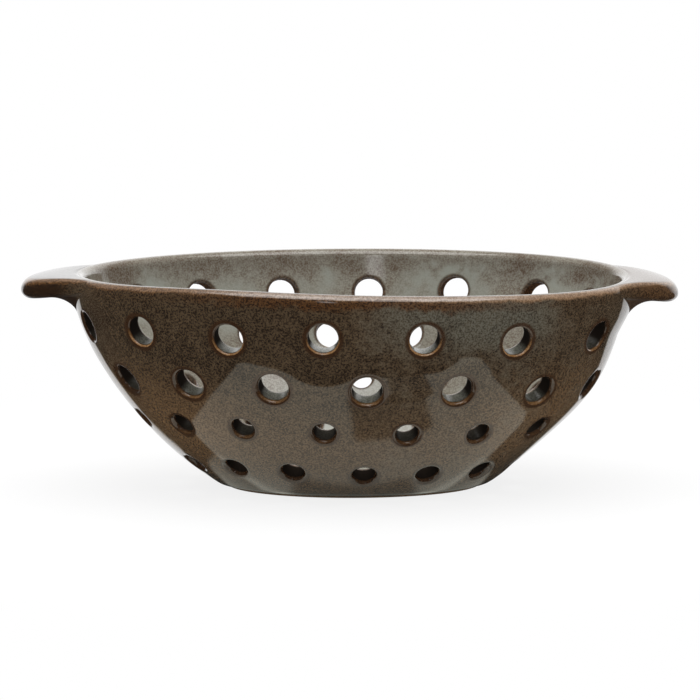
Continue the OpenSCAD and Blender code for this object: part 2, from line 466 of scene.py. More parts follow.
def select_open_edges():
    bpy.ops.mesh.select_mode(type="EDGE")
    bpy.ops.mesh.select_all(action="DESELECT")
    bpy.ops.mesh.select_non_manifold(
        use_wire=False, use_boundary=True, use_multi_face=False, use_non_contiguous=False, use_verts=False
    )


def bridge_open_edges(piece, low, high):
    """Closes a ring between its two open edges that lie between two heights."""
    edit(piece)
    select_open_edges()
    done()
    corners = piece.data.vertices
    for edge in piece.data.edges:
        if edge.select:
            edge.select = all(low < corners[i].co.z < high for i in edge.vertices)
    edit(piece)
    bpy.ops.mesh.bridge_edge_loops()
    done()


def finish_shape(piece, angle=SMOOTH):
    edit_all(piece)
    bpy.ops.mesh.normals_make_consistent(inside=False)
    done()
    bpy.ops.object.shade_smooth_by_angle(angle=math.radians(angle))


# The wall, one tile to a hole

def ring_radius(tile):
    tile.update_from_editmode()
    ring = [v.co.xy.length for v in tile.data.vertices if v.select]
    return sum(ring) / len(ring)


def tile_outline(columns, half_w, half_h):
    """The outer edge of a tile, left selected in edit mode."""
    unselect()
    face = (0, 0, WALL / 2)
    bpy.ops.mesh.primitive_grid_add(x_subdivisions=columns, y_subdivisions=TILE_ROWS, size=2, location=face)
    tile = start_piece("hole_tile")
    bpy.ops.transform.resize(value=(half_w, half_h, 1))
    settle()
    edit(tile)
    bpy.ops.mesh.select_mode(type="VERT")
    bpy.ops.mesh.select_all(action="SELECT")
    bpy.ops.mesh.region_to_loop()
    bpy.ops.mesh.select_mode(type="VERT")
    bpy.ops.mesh.select_all(action="INVERT")
    bpy.ops.mesh.delete(type="VERT")
    bpy.ops.mesh.select_all(action="SELECT")
    return tile


def hole_tile(row, columns, half_w, half_h):
    """A flat tile of wall with one hole, rounded at both faces: its outer face is up."""
    bore = ROWS[row][2]
    edge_round = HOLE_ROUNDS[row]
    edge_r = bore / 2 + edge_round
    tile = tile_outline(columns, half_w, half_h)
    for round_share, shrink in TILE_RINGS:
        bpy.ops.mesh.extrude_region_move()
        bpy.ops.transform.tosphere(value=round_share)
        bpy.ops.transform.resize(value=(shrink, shrink, 1))
    radius = TILE_LAST_RING * edge_r
    shrink = radius / ring_radius(tile)
    bpy.ops.transform.resize(value=(shrink, shrink, 1))
    profile = [(edge_r, 0)]
    for turn in EDGE_TURNS:
        profile.append((edge_r - edge_round * math.sin(turn), edge_round * (1 - math.cos(turn))))
    profile.append((bore / 2, WALL / 2))
    draw_along(radius, radius, 0, [(ring, ring, -depth) for ring, depth in profile])
    done()
    mirror = tile.modifiers.new("inner face", "MIRROR")
    mirror.use_axis = (False, False, True)
    mirror.merge_threshold = WELD
    bpy.ops.object.modifier_apply(modifier=mirror.name)
    mark_hole(tile, row)
    return tile


def mark_hole(tile, row):
    """Marks what the glaze does round a hole."""
    bore = ROWS[row][2]
    edge_round = HOLE_ROUNDS[row]
    x, y, z = points_of(tile).T
    away = np.hypot(x, y)
    low = 0.5 - 0.5 * y / np.maximum(away, MM)
    from_face = WALL / 2 - np.abs(z)
    near = np.clip(1 - (away - bore / 2) / (edge_round + EDGE_REACH), 0, 1)
    near = near * np.exp(-np.clip(from_face - edge_round, 0, None) / EDGE_FADE)
    mark_points(tile, "edge_break", near)
    mark_points(tile, "low_side", low * HOLE_AMBERS[row])
    # The throat is where the bore is painted dark as shade; the pool is its grey bottom, pooled glaze and
    # painted light
    mark_points(tile, "throat", faded(from_face - THROAT_START * edge_round, THROAT_FADE))
    mark_points(tile, "pool", faded(low - LIT_POOL_START, LIT_POOL_FADE) * HOLE_LIT_POOLS[row])
    mark_points(tile, "inside", np.clip(0.5 - z / WALL, 0, 1))


def drilled_places(turn, z, x, y):
    """Turn and height of points that lie x along and y up the face of a hole at turn and z."""
    centre = skin(turn, z)
    around, _ = skin_slopes(turn, z)
    along = unit(around)
    rise = np.cross(square_out(turn, z), along)
    turns = turn + x / np.linalg.norm(around)
    heights = z + y * rise[2]
    for _ in range(DRILL_TRIES):
        gap = skin(turns, heights) - centre
        miss_x = x - gap @ along
        miss_y = y - gap @ rise
        around, up = skin_slopes(turns, heights)
        xx, xy, yx, yy = around @ along, up @ along, around @ rise, up @ rise
        area = xx * yy - xy * yx
        turns = turns + (miss_x * yy - miss_y * xy) / area
        heights = heights + (miss_y * xx - miss_x * yx) / area
    return turns, heights


def tile_places(row, number, turn, across, high):
    """Turn and height of points of a tile as it lies in its row, given as shares of its half sides."""
    height, back_drop, _, count, phase = ROWS[row]
    columns = COLUMNS // count
    first_column = number * columns + round(phase * columns - columns / 2)
    turns = turn_at((first_column + columns * (across + 1) / 2) / COLUMNS)
    turns = turns + FULL_TURN * np.round((turn - turns) / FULL_TURN)
    middle = row_line(height, turns, back_drop)
    above = tile_edge(row, turns)
    below = tile_edge(row + 1, turns)
    return turns, middle + np.where(high > 0, (above - middle) * high, (middle - below) * high)


def set_hole(tile, row, number, half_w, half_h):
    """A copy of the tile, laid on the wall with its hole drilled square to it."""
    height, back_drop, bore, count, phase = ROWS[row]
    turn = turn_at((number + phase) / count)
    z = row_line(height, turn, back_drop)
    off_along, off_up = OFF_PLACE.get((row, number), (0, 0))
    turn = turn + off_along / np.linalg.norm(skin_slopes(turn, z)[0])
    z = z + off_up
    copy = tile.copy()
    copy.data = tile.data.copy()
    bpy.context.scene.collection.objects.link(copy)
    x, y, up = points_of(copy).T
    depth = WALL / 2 - up
    across = x / half_w
    high = y / half_h
    # Share of the way from the rounded edge of the hole to the edge of the tile
    away = np.hypot(x, y)
    outmost = np.maximum(np.abs(across), np.abs(high))
    edge_r = bore / 2 + HOLE_ROUNDS[row]
    share = np.clip((away - edge_r) / (away / outmost - edge_r), 0, 1)
    tile_turn, tile_z = tile_places(row, number, turn, across, high)
    hole_turn, hole_z = drilled_places(turn, z, x, y)
    turns = lerp(hole_turn, tile_turn, share)
    heights = lerp(hole_z, tile_z, share)
    drill = square_out(turn, z)
    square = unit(lerp(drill[None, :], square_out(turns, heights), share[:, None]))
    inward = depth * thickness(heights) / WALL
    move_points(copy, skin(turns, heights) - inward[:, None] * square)
    mark_points(copy, "below_crest", below_crest(turns, heights, depth))
    facing = abs(np.cos(turn))
    # The pale pool is partly painted light, so it fades on the holes towards the ends
    weaken_marks(copy, "pool", facing ** 2)
    weaken_marks(copy, "low_side", min(1, AMBER_FACING * facing) ** 2)
    return copy


def wall_strip(name, low, high, rows, depth):
    """A plain strip round one face of the wall between two lines, each a height at a turn."""
    strip = grid(name, COLUMNS, rows)
    along, up, _ = points_of(strip).T
    turn = turn_at(np.round(along * COLUMNS) / COLUMNS)
    z = lerp(low(turn), high(turn), up)
    inward = depth * thickness(z) / WALL
    move_points(strip, skin(turn, z) - inward[:, None] * square_out(turn, z))
    mark_points(strip, "inside", np.full(len(turn), depth / WALL))
    mark_points(strip, "below_crest", below_crest(turn, z, depth))
    return strip


def build_wall():
    pieces = []
    for row, (height, _, _, count, _) in enumerate(ROWS):
        half_w = np.pi * half_length(height) * (1 + OVAL) / 2 / count
        half_h = (tile_edge(row, 0.0) - tile_edge(row + 1, 0.0)) / 2 / abs(square_out(0.0, height)[1])
        tile = hole_tile(row, COLUMNS // count, half_w, half_h)
        pieces += [set_hole(tile, row, number, half_w, half_h) for number in range(count)]
        bpy.data.objects.remove(tile)
    last_line = partial(tile_edge, len(ROWS))
    for depth in (0, WALL):
        pieces.append(wall_strip("top_strip", partial(tile_edge, 0), wall_top, TOP_STRIP_ROWS, depth))
        pieces.append(wall_strip("bottom_strip", foot_line, last_line, BOTTOM_STRIP_ROWS, depth))
    wall = join(pieces, "perforated_wall")
    weld(wall)
    bridge_open_edges(wall, *TOP_EDGES)
    bridge_open_edges(wall, *BOTTOM_EDGES)
    finish_shape(wall)
    return wall


# The lip, rounded over the top of the wall

def build_lip():
    rows = LIP_STEPS + 2 * LIP_BAND_ROWS
    lip = grid("rolled_rim", COLUMNS, rows)
    along, over, _ = points_of(lip).T
    turn = turn_at(np.round(along * COLUMNS) / COLUMNS)
    row = np.round(over * rows)
    start = lip_start(turn)
    up_band = np.minimum(faded(row, LIP_BAND_ROWS), faded(rows - row, LIP_BAND_ROWS))
    z = start - LIP_BAND * (1 - up_band)
    swing = np.pi * faded(row - LIP_BAND_ROWS, LIP_STEPS)
    out = square_out(turn, z)
    up = unit(np.array([0, 0, 1.0]) - out[:, 2:] * out)
    middle = skin(turn, z) - WALL / 2 * out
    points = middle + WALL / 2 * (np.cos(swing)[:, None] * out + np.sin(swing)[:, None] * up)
    move_points(lip, points)
    past_crest = WALL / 2 * (swing - np.pi / 2)
    mark_points(lip, "below_crest", np.where(row > rows / 2, z - start, start - z) - past_crest)
    mark_points(lip, "inside", swing / np.pi)
    weld(lip)
    bridge_open_edges(lip, 0, BOWL_H)
    finish_shape(lip)
    return lip


# The ears

def ray_outer(angle, z):
    """Distance from the middle of the fan to the outside of the wall at a height."""
    a = half_length(z)
    b = OVAL * a
    p = (math.cos(angle) / a) ** 2 + (math.sin(angle) / b) ** 2
    h = FAN_X * math.cos(angle) / a ** 2
    return (np.sqrt(h ** 2 - p * ((FAN_X / a) ** 2 - 1)) - h) / p


def rim_along_fan(side):
    """Angles of the fan at one end, with the range, height and turn of the rim's crest on each."""
    turns = side * EAR_TURNS
    start = lip_start(turns)
    crest = skin(turns, start) - WALL / 2 * square_out(turns, start)
    out = side * crest[:, 0] - FAN_X
    return np.arctan2(crest[:, 1], out), np.hypot(crest[:, 1], out), crest[:, 2] + WALL / 2, turns


def ear_section(angle, reach, droop, rim):
    """One section of an ear in a ray of the fan: its points, with the marks for the glaze on each."""
    crest_at = float(np.interp(angle, rim[0], rim[1]))
    top_z = float(np.interp(angle, rim[0], rim[2]))
    turn = float(np.interp(angle, rim[0], rim[3]))
    lip_z = top_z - WALL / 2
    rim_at = float(ray_outer(angle, lip_z))
    crest = rim_at - crest_at
    out = reach * math.cos(math.pi / 2 * angle / FAN_ANGLE) ** 2 + EAR_LEAST
    grown = out / reach
    # Along the top, round the tip and back through the hollow underneath
    r = WALL / 2 + (EAR_T / 2 - WALL / 2) * grown
    tip_r = crest + (r - crest) * grown
    mid_z = top_z - r
    hollow_h = EAR_HOLLOW_H * grown
    hollow_r = max(hollow_h, min(out - tip_r, EAR_HOLLOW_REACH))
    end = -math.acos(max(0, (hollow_r + tip_r - out) / (hollow_r + tip_r)))
    hollow_z = mid_z + r * math.sin(end) + hollow_h * math.sin(end)
    top = -crest + (out - tip_r + crest) * np.linspace(0, 1, EAR_TOP_STEPS + 1)[:-1]
    tip = np.linspace(math.pi / 2, end, EAR_TIP_STEPS + 1)
    hollow = np.linspace(math.pi + end, math.pi, EAR_HOLLOW_STEPS + 1)
    p = np.concatenate([top, out - tip_r + tip_r * np.cos(tip), hollow_r * (1 + np.cos(hollow))])
    flat = np.full(len(top), top_z)
    z = np.concatenate([flat, mid_z + r * np.sin(tip), hollow_z + hollow_h * np.sin(hollow)])
    round_length = (r + tip_r) / 2 * (math.pi / 2 - tip)
    hollow_length = round_length[-1] + EAR_HOLLOW_H / 2 * (hollow - hollow[0])
    length = np.concatenate([0 * top, round_length, hollow_length])
    # Down to the tip, thicker at the root, and against the leaning wall
    near = 1 - np.clip(p / out, 0, 1)
    under = np.clip((mid_z - z) / r, 0, 1)
    fall = droop * (np.clip(p, 0, None) / reach) ** 2 + under * near * grown * (EAR_ROOT_T - EAR_T)
    wall_z = np.minimum(z - fall, lip_z)
    lean = ray_outer(angle, wall_z) - rim_at - hand_marks(turn, wall_z) + hand_marks(turn, lip_z)
    sink = EAR_SINK * (1 - grown) ** EAR_SINK_FADE
    face = np.stack([rim_at + p + lean * near - sink, z - fall - sink], axis=-1)
    # Into the wall, and back to the crest inside it
    root = face[-1] - EAR_ROOT_INSET
    back = lerp(face[0] - EAR_CREST_INSET, root, np.linspace(1, 0, EAR_TOP_STEPS)[:, None])
    section = np.concatenate([face, back, face[:1]])
    lengths = np.concatenate([length, np.full(len(back), length[-1]), length[:1]])
    turned_under = faded(-tip - UNDER_FROM, UNDER_FULL - UNDER_FROM)
    unders = np.concatenate([0 * top, turned_under, np.ones(len(hollow) + len(back)), [0]])
    return section, lengths, unders, min(1, grown / EAR_BLEND)


def build_ear(name, side, reach, droop):
    angles = np.linspace(-1, 1, EAR_RAYS + 1) * FAN_ANGLE
    rim = rim_along_fan(side)
    sections, lengths, unders, shares = zip(*(ear_section(angle, reach, droop, rim) for angle in angles))
    steps = len(sections[0]) - 1
    ear = grid(name, EAR_RAYS, steps)
    along, round_it, _ = points_of(ear).T
    ray = np.round(along * EAR_RAYS).astype(int)
    step = np.round(round_it * steps).astype(int)
    out, z = np.array(sections)[ray, step].T
    angle = angles[ray]
    move_points(ear, np.stack([side * (FAN_X + out * np.cos(angle)), out * np.sin(angle), z], axis=-1))
    mark_points(ear, "below_crest", np.array(lengths)[ray, step])
    mark_points(ear, "ear", np.array(shares)[ray])
    mark_points(ear, "ear_under", np.array(unders)[ray, step])
    weld(ear, EAR_WELD)
    edit(ear)
    select_open_edges()
    bpy.ops.mesh.fill_holes(sides=0)
    done()
    finish_shape(ear)
    return ear


# The floor, dished up to the wall, with its drain holes

def inner_half(z):
    """Half length and half width of the inside of the wall at a height."""
    heights = np.linspace(max(z - THICK_WALL, INNER_LOWEST), z, INNER_STEPS)
    halves = []
    for turn, axis in ((np.pi / 2, 0), (np.pi, 1)):
        turns = turn + 0 * heights
        inner = skin(turns, heights) - thickness(heights)[:, None] * square_out(turns, heights)
        halves.append(float(np.interp(z, inner[:, 2], inner[:, axis])))
    return halves


def floor_drill():
    drills = []
    for i in range(FLOOR_HOLES + 1):
        turn = FULL_TURN * i / FLOOR_HOLES
        out = FLOOR_OVAL if i > 0 else 0
        at = (out * FLOOR_A * math.cos(turn), out * FLOOR_B * math.sin(turn), FLOOR_Z)
        unselect()
        bpy.ops.mesh.primitive_cylinder_add(
            vertices=DRILL_SIDES, radius=FLOOR_BORE / 2, depth=DRILL_LENGTH, location=at
        )
        drills.append(bpy.context.object)
    return join(drills, "floor_drill")


def build_floor():
    a = FLOOR_A - FLOOR_INSET
    b = FLOOR_B - FLOOR_INSET
    floor = oval("drained_floor", FLOOR_SIDES, a, b, FOOT_H, "NGON")
    rim_a, rim_b = (half + COVE_SEAT for half in inner_half(FLOOR_Z + COVE_H))
    outline = [(rim_a, rim_b, FLOOR_Z + COVE_H)]
    for turn in COVE_TURNS:
        inward = COVE_REACH * math.sin(turn) ** COVE_IN
        outline.append((rim_a - inward, rim_b - inward, FLOOR_Z + COVE_H * (1 - math.sin(turn)) ** COVE_DOWN))
    edit_all(floor)
    draw_along(a, b, FOOT_H, outline)
    done()
    drill = floor_drill()
    cut = floor.modifiers.new("drain holes", "BOOLEAN")
    cut.object = drill
    cut.solver = "EXACT"
    soften = floor.modifiers.new("glazed edges", "BEVEL")
    soften.width = DRAIN_ROUND
    soften.segments = DRAIN_ROUND_STEPS
    soften.angle_limit = DRAIN_ROUND_ANGLE
    pick(floor)
    bpy.ops.object.modifier_apply(modifier=cut.name)
    bpy.ops.object.modifier_apply(modifier=soften.name)
    bpy.data.objects.remove(drill)
    inside = np.ones(len(floor.data.vertices))
    mark_points(floor, "inside", inside)
    mark_points(floor, "below_crest", -BOWL_H * inside)
    finish_shape(floor, FLOOR_SMOOTH)
    return floor


# The foot ring, glazed to its rounded edge and bare underneath

def build_foot():
    a = float(half_length(FOOT_H))
    b = OVAL * a
    foot = oval("foot_ring_clay", COLUMNS, a, b, FOOT_H, "NOTHING")
    # How far each step stands out from the top of the ring, and its height
    edge = float(half_length(0.0)) - a
    outline = [(float(half_length(FOOT_ROUND)) - a, FOOT_ROUND)]
    for turn in FOOT_TURNS:
        inward = FOOT_ROUND * FOOT_ROUND_IN * math.sin(turn)
        outline.append((edge - inward, FOOT_ROUND * (1 - math.sin(turn))))
    inner = edge - FOOT_RING_W
    outline += [
        (inner + FOOT_INNER_ROUND, 0),
        (inner + FOOT_INNER_STEP, FOOT_INNER_STEP),
        (inner, FOOT_INNER_ROUND),
        (inner, FOOT_H),
    ]
    edit_all(foot)
    draw_along(a, b, FOOT_H, [(a + out, b + out, z) for out, z in outline])
    done()
    bridge_open_edges(foot, 0, 2 * FOOT_H)
    finish_shape(foot)
    return foot


# Glazes

class Tint:
    """A socket of a glaze. Sums and products of tints add Math nodes."""

    def __init__(self, bench, socket):
        self.bench = bench
        self.socket = socket

    def work(self, operation, first, second=0):
        return self.bench.node("ShaderNodeMath", {"operation": operation}, {0: first, 1: second})

    def __add__(self, other):
        return self.work("ADD", self, other)

    def __sub__(self, other):
        return self.work("SUBTRACT", self, other)

    def __rsub__(self, other):
        return self.work("SUBTRACT", other, self)

    def __mul__(self, other):
        return self.work("MULTIPLY", self, other)

    __radd__ = __add__
    __rmul__ = __mul__

    def clipped(self):
        return self.bench.node("ShaderNodeClamp", {}, {0: self})

    def size(self):
        return self.work("ABSOLUTE", self)

    def root(self):
        return self.work("SQRT", self)

    def at_least(self, low):
        return self.work("MAXIMUM", self, low)


class Bench:
    """A tree of nodes that a finish is put together on."""

    def __init__(self, tree):
        self.tree = tree

    def node(self, kind, settings, sockets, output=0):
        made = self.tree.nodes.new(kind)
        for key, value in settings.items():
            setattr(made, key, value)
        for key, value in sockets.items():
            self.feed(made.inputs[key], value)
        return Tint(self, made.outputs[output])

    def feed(self, socket, value):
        if isinstance(value, Tint):
            self.tree.links.new(value.socket, socket)
        elif isinstance(value, tuple) and socket.type == "RGBA":
            socket.default_value = (*value, 1)
        else:
            socket.default_value = value

    def place_on(self, coordinates):
        """Reads where a point lies: X, Y and Z."""
        self.place = self.node("ShaderNodeTexCoord", {}, {}, coordinates)
        parts = (self.node("ShaderNodeSeparateXYZ", {}, {0: self.place}, axis) for axis in "XYZ")
        self.x, self.y, self.z = parts

    def noise(self, scale, detail=2, roughness=0.5, distortion=0):
        sockets = {"Vector": self.place, "Scale": scale, "Detail": detail}
        sockets.update({"Roughness": roughness, "Distortion": distortion})
        return self.node("ShaderNodeTexNoise", {}, sockets, "Fac")

    def rise(self, value, low, high):
        """0 below low, 1 above high, and smooth between."""
        sockets = {"Value": value, "From Min": low, "From Max": high}
        return self.node("ShaderNodeMapRange", {"interpolation_type": "SMOOTHSTEP"}, sockets)

    def fall(self, value, low, high):
        return 1 - self.rise(value, low, high)

    def mix(self, share, first, second):
        return self.node("ShaderNodeMix", {"data_type": "RGBA"}, {0: share, 6: first, 7: second}, 2)

    def mark(self, name):
        return self.node("ShaderNodeAttribute", {"attribute_name": name}, {}, "Fac")

    def ray(self, kind):
        return self.node("ShaderNodeLightPath", {}, {}, kind)


class Finish(Bench):
    """A material that is put together from nodes."""

    def __init__(self, name):
        self.material = bpy.data.materials.new(name)
        self.material.use_nodes = True
        super().__init__(self.material.node_tree)
        self.shader = self.tree.nodes["Principled BSDF"]
        self.place_on("Object")

    def paint(self, socket, value):
        self.feed(self.shader.inputs[socket], value)


DARK_BROWN = (0.02, 0.012, 0.007)
BROWN = (0.106, 0.072, 0.042)
DARK_RED = (0.072, 0.041, 0.021)
RED_BROWN = (0.2, 0.12, 0.06)
SLATE = (0.132, 0.132, 0.106)
INNER_BROWN = (0.14, 0.1, 0.07)
INNER_RUST = (0.115, 0.076, 0.052)
INNER_GREY = (0.36, 0.345, 0.29)
PALE_GREY = (0.355, 0.365, 0.318)
UNDER_RIM = (0.03, 0.013, 0.006)
EAR_LEFT = (0.012, 0.006, 0.003)
EAR_RIGHT = (0.105, 0.056, 0.026)
EAR_RIGHT_LOW = (0.036, 0.018, 0.009)
RUST = (0.105, 0.045, 0.016)
AMBER = (0.27, 0.13, 0.045)
PALE_AMBER = (0.42, 0.24, 0.11)
TAN = (0.3, 0.185, 0.105)
# Painted reflection of the overhead soft box on the front of the rim
PAINTED_RIM_SHEEN = (0.4, 0.33, 0.28)
EDGE_BROWN = (0.036, 0.015, 0.006)
# Pooled glaze at the bottom of the bores, with painted light on it
LIT_POOL_GREY = (0.2, 0.2, 0.16)
# Near black: painted shade deep in the bores, and the dark streaked glaze on the foot
SHADE_AND_BLACK_GLAZE = (0.01, 0.007, 0.005)
CLAY = (0.46, 0.33, 0.22)
CLAY_GRAIN = (0.36, 0.25, 0.16)
WHITE = (1.0, 1.0, 1.0)

# Noises of the glaze: scale, detail, roughness, distortion
SPECKS = (1500, 2, 0.6)
BLOTCHES = (330, 3, 0.6)
CLOUDS = (42, 4, 0.6, 0.3)
DRIFTS = (15, 3, 0.5)
RIPPLES = (140, 2, 0.5)
RIPPLE_DEPTH = 0.1 * MM
# How far the borders of the tints wander, and the tan of the rim
WANDER = 3 * MM
TAN_WANDER = 30 * MM

# Where each tint begins and is full. Those in X count from the middle of the bowl
RIGHT_SIDE = mm(-20, 60)
OFF_CENTRE = mm(30, 75)
# The red of the lower wall reaches higher, and is stronger, towards the ends
RED_END = mm(10, 45)
RED_SLANT = 0.2
RED_TOP = mm(50, 65)
RED_ENDS = mm(35, 60)
# Slate gathers high on the right, and the left is darker high up
SLATE_HEIGHT = mm(52, 72)
SLATE_RIGHT = mm(55, 85)
DARK_LEFT = mm(-90, -65)
DARK_LEFT_END = mm(-30, 0)
DARK_LEFT_HEIGHT = mm(45, 60)
# Lengths down from the crest: rust under the rim, the darker side of an ear, brown mottling inside
RUST_END = mm(5, 8)
EAR_LOW = mm(2, 8)
MOTTLE_END = mm(6, 16)
# Heights between which that mottling turns browner
MOTTLE_HEIGHT = mm(62, 74)
# The line on the rim: lengths down from the crest, wider on the right, and places of its tints
LINE_START = mm(0, 1.2)
LINE_END = mm(2.2, 3.8)
LINE_WIDER = 0.4 * MM
# The pale band on the rim is a painted reflection of the overhead soft box: its depth down from the crest,
# and where it comes in on the left and goes on the right
SHEEN_DEPTH = mm(2, 3.4)
TAN_SIDE = mm(-10, 60)
SHEEN_LEFT = mm(-65, -25)
SHEEN_RIGHT = mm(40, 75)
# Bores of the back wall, which are rusty
BACK_WALL = mm(10, 30)
# Shares of a mark or a noise between which a tint begins and is full
SPECK_FADE = (0.36, 0.64)
SLATE_FADE = (0.54, 0.8)
PALE_CLOUD = (0.35, 0.7)
INNER_FACE = (0.3, 0.7)
DARK_RING = (0.45, 0.68)
AMBER_START = (0.82, 0.88)
AMBER_END = (0.94, 0.99)
AMBER_LOW = (0.35, 0.9)
RUST_RING = (0.6, 0.86)
RUST_FACE = (0.55, 0.85)
THROAT = (0.1, 0.6)


class ReactiveGlaze(Finish):
    """Brown glaze that breaks to amber on edges, drifts to slate and is grey-green inside."""

    def __init__(self, name):
        super().__init__(name)
        self.grain = self.rise(self.noise(*SPECKS), *SPECK_FADE)
        self.blotch = self.noise(*BLOTCHES)
        self.cloud = self.noise(*CLOUDS)
        self.drift = self.noise(*DRIFTS)
        self.wander = WANDER * (self.cloud - 0.5) + WANDER * (self.blotch - 0.5)
        self.fleck = (1.6 * self.grain - 0.34 + 2.4 * (self.blotch - 0.5)).clipped()
        self.aside = self.x.size()
        self.right = self.rise(self.x, *RIGHT_SIDE)
        self.centre = self.fall(self.aside, *OFF_CENTRE)
        self.below = self.mark("below_crest")
        self.ear = self.mark("ear")
        self.pool = self.mark("pool")
        self.inside = self.mark("inside")
        self.inner_face = self.rise(self.inside, *INNER_FACE)
        self.deep = self.rise(self.mark("throat"), *THROAT)

    def outer_brown(self):
        """Dark and light brown, redder low down, with drifts of slate."""
        dark_left = self.rise(self.x, *DARK_LEFT) * self.fall(self.x, *DARK_LEFT_END)
        dark_left = dark_left * self.rise(self.z, *DARK_LEFT_HEIGHT)
        shade = 0.04 + 0.72 * self.grain + 0.85 * (self.blotch - 0.48) + 0.9 * (self.cloud - 0.5)
        body = self.mix((shade - 0.09 * dark_left).clipped(), DARK_BROWN, BROWN)
        low = self.fall(self.z - RED_SLANT * self.aside, *RED_END) * self.fall(self.z, *RED_TOP)
        low = low * (0.55 + 0.4 * self.rise(self.aside, *RED_ENDS))
        body = self.mix(low, body, self.mix(self.grain, DARK_RED, RED_BROWN))
        high_right = self.right * self.rise(self.z, *SLATE_HEIGHT) * self.fall(self.x, *SLATE_RIGHT)
        slate = 0.35 * self.cloud + 0.4 * self.drift + 0.25 * self.blotch
        slate = slate + 0.26 * high_right + 0.06 * self.right
        slate = 0.72 * self.rise(slate, *SLATE_FADE)
        return self.mix(slate * (0.3 + 0.7 * self.grain), body, SLATE)

    def with_rust_and_ears(self, body):
        """Rust under the middle of the rim, a nearly black left ear and a brown right one."""
        rust = self.fall(self.below + 2 * self.wander, *RUST_END) * (0.12 + 0.68 * self.centre)
        body = self.mix(rust, body, self.mix(self.grain, UNDER_RIM, RUST))
        ear_low = self.rise(self.below + 3 * self.wander, *EAR_LOW)
        right_ear = self.mix((ear_low + 0.9 * (0.5 - self.grain)).clipped(), EAR_RIGHT, EAR_RIGHT_LOW)
        left_ear = self.mix(0.7 * self.grain, EAR_LEFT, EDGE_BROWN)
        return self.mix(0.92 * self.ear, body, self.mix(self.right, left_ear, right_ear))

    def inner_grey(self):
        """Grey-green, with brown mottling that gathers under the rim."""
        speckled = 0.2 + 0.6 * self.grain + 0.5 * (self.blotch - 0.5)
        body = self.mix(speckled, INNER_BROWN, INNER_GREY)
        body = self.mix(self.rise(self.cloud, *PALE_CLOUD), body, PALE_GREY)
        mottle = 0.39 + 0.45 * self.grain + 0.5 * (self.blotch - 0.5) + 1.1 * (self.cloud - 0.5)
        mottle = mottle - 0.26 * self.rise(self.z, *MOTTLE_HEIGHT) + 0.1 * self.centre - 0.08 * self.right
        mottled = self.mix(mottle.clipped(), INNER_RUST, INNER_GREY)
        band = self.fall(5 * self.wander - self.below, *MOTTLE_END)
        return self.mix(0.9 * band, body, mottled)

    def with_rim_line(self, body):
        """A line on the crest of the rim: amber on the left and tan on the right, with a pale painted
        reflection of the overhead soft box in the middle.
        """
        tan = 0.1 + 0.9 * self.rise(self.x + TAN_WANDER * (self.drift - 0.5), *TAN_SIDE)
        tan = tan * (0.4 + 0.6 * self.fleck) * (1 - 0.45 * self.ear)
        colour = self.mix(tan.clipped(), self.mix(0.12 + 0.62 * self.fleck, UNDER_RIM, AMBER), TAN)
        # A pale painted reflection of the overhead soft box, strongest in the middle of the front
        middle = (0.3 + 0.7 * self.rise(self.x, *SHEEN_LEFT)) * (1 - 0.7 * self.rise(self.x, *SHEEN_RIGHT))
        pale = self.fall(self.below + 0.5 * self.wander, *SHEEN_DEPTH)
        pale = pale * middle * (0.5 + 0.4 * self.fleck)
        colour = self.mix(pale.clipped(), colour, PAINTED_RIM_SHEEN)
        depth = self.below * (1 + self.ear * (0.55 * self.right - 0.2))
        depth = depth + self.wander - LINE_WIDER * self.right
        line = self.rise(self.below, *LINE_START) * self.fall(depth, *LINE_END)
        return self.mix(line, body, colour)

    def with_holes(self, body):
        """Dark rings round the holes, amber on their lower edges, and bores painted near black as shade over
        their darker glaze, but for a lit grey at the bottom of the upper holes: pooled glaze and painted
        light.
        """
        edge = self.mark("edge_break")
        ring = edge + 0.12 * (self.blotch - 0.5)
        dark = (1 - self.inner_face) * self.rise(ring, *DARK_RING)
        body = self.mix(0.85 * dark, body, EDGE_BROWN)
        amber = self.rise(ring, *AMBER_START) * self.fall(ring, *AMBER_END)
        amber = amber * self.rise(self.mark("low_side") + 0.3 * (self.cloud - 0.5), *AMBER_LOW)
        body = self.mix(0.9 * amber, body, self.mix(self.fleck, AMBER, PALE_AMBER))
        rust = self.rise(edge + 0.1 * (self.blotch - 0.5), *RUST_RING)
        rust = rust * self.rise(self.inside, *RUST_FACE) * (1 - self.pool)
        body = self.mix(0.85 * rust, body, self.mix(self.fleck, EDGE_BROWN, RUST))
        # The bores are painted near black as shade, over their darker glaze; those of the back wall are rust
        bore = self.mix(self.rise(self.y, *BACK_WALL) * (0.25 + 0.6 * self.fleck), SHADE_AND_BLACK_GLAZE, RUST)
        # The bottoms of the upper bores are lit grey: pooled glaze and painted light
        bore = self.mix(self.pool * (0.4 + 0.6 * self.grain), bore, LIT_POOL_GREY)
        return self.mix(self.deep, body, bore)


def reactive_glaze(name):
    glaze = ReactiveGlaze(name)
    body = glaze.mix(glaze.inner_face, glaze.with_rust_and_ears(glaze.outer_brown()), glaze.inner_grey())
    glaze.paint("Base Color", glaze.with_holes(glaze.with_rim_line(body)))
    # Bores and the undersides of the ears have no gloss
    dry = (glaze.deep * (1 - glaze.pool) + glaze.mark("ear_under")).clipped()
    glaze.paint("Roughness", 0.05 + 0.04 * glaze.cloud + 0.9 * dry)
    glaze.paint("Specular IOR Level", 0.1)
    glaze.paint("Coat Weight", (1 - dry) * (0.8 + 0.2 * glaze.grain))
    glaze.paint("Coat Roughness", 0.015)
    glaze.paint("Coat IOR", 1.75)
    ripples = {"Strength": 0.1, "Distance": RIPPLE_DEPTH, "Height": glaze.noise(*RIPPLES)}
    glaze.paint("Normal", glaze.node("ShaderNodeBump", {}, ripples))
    return glaze.material


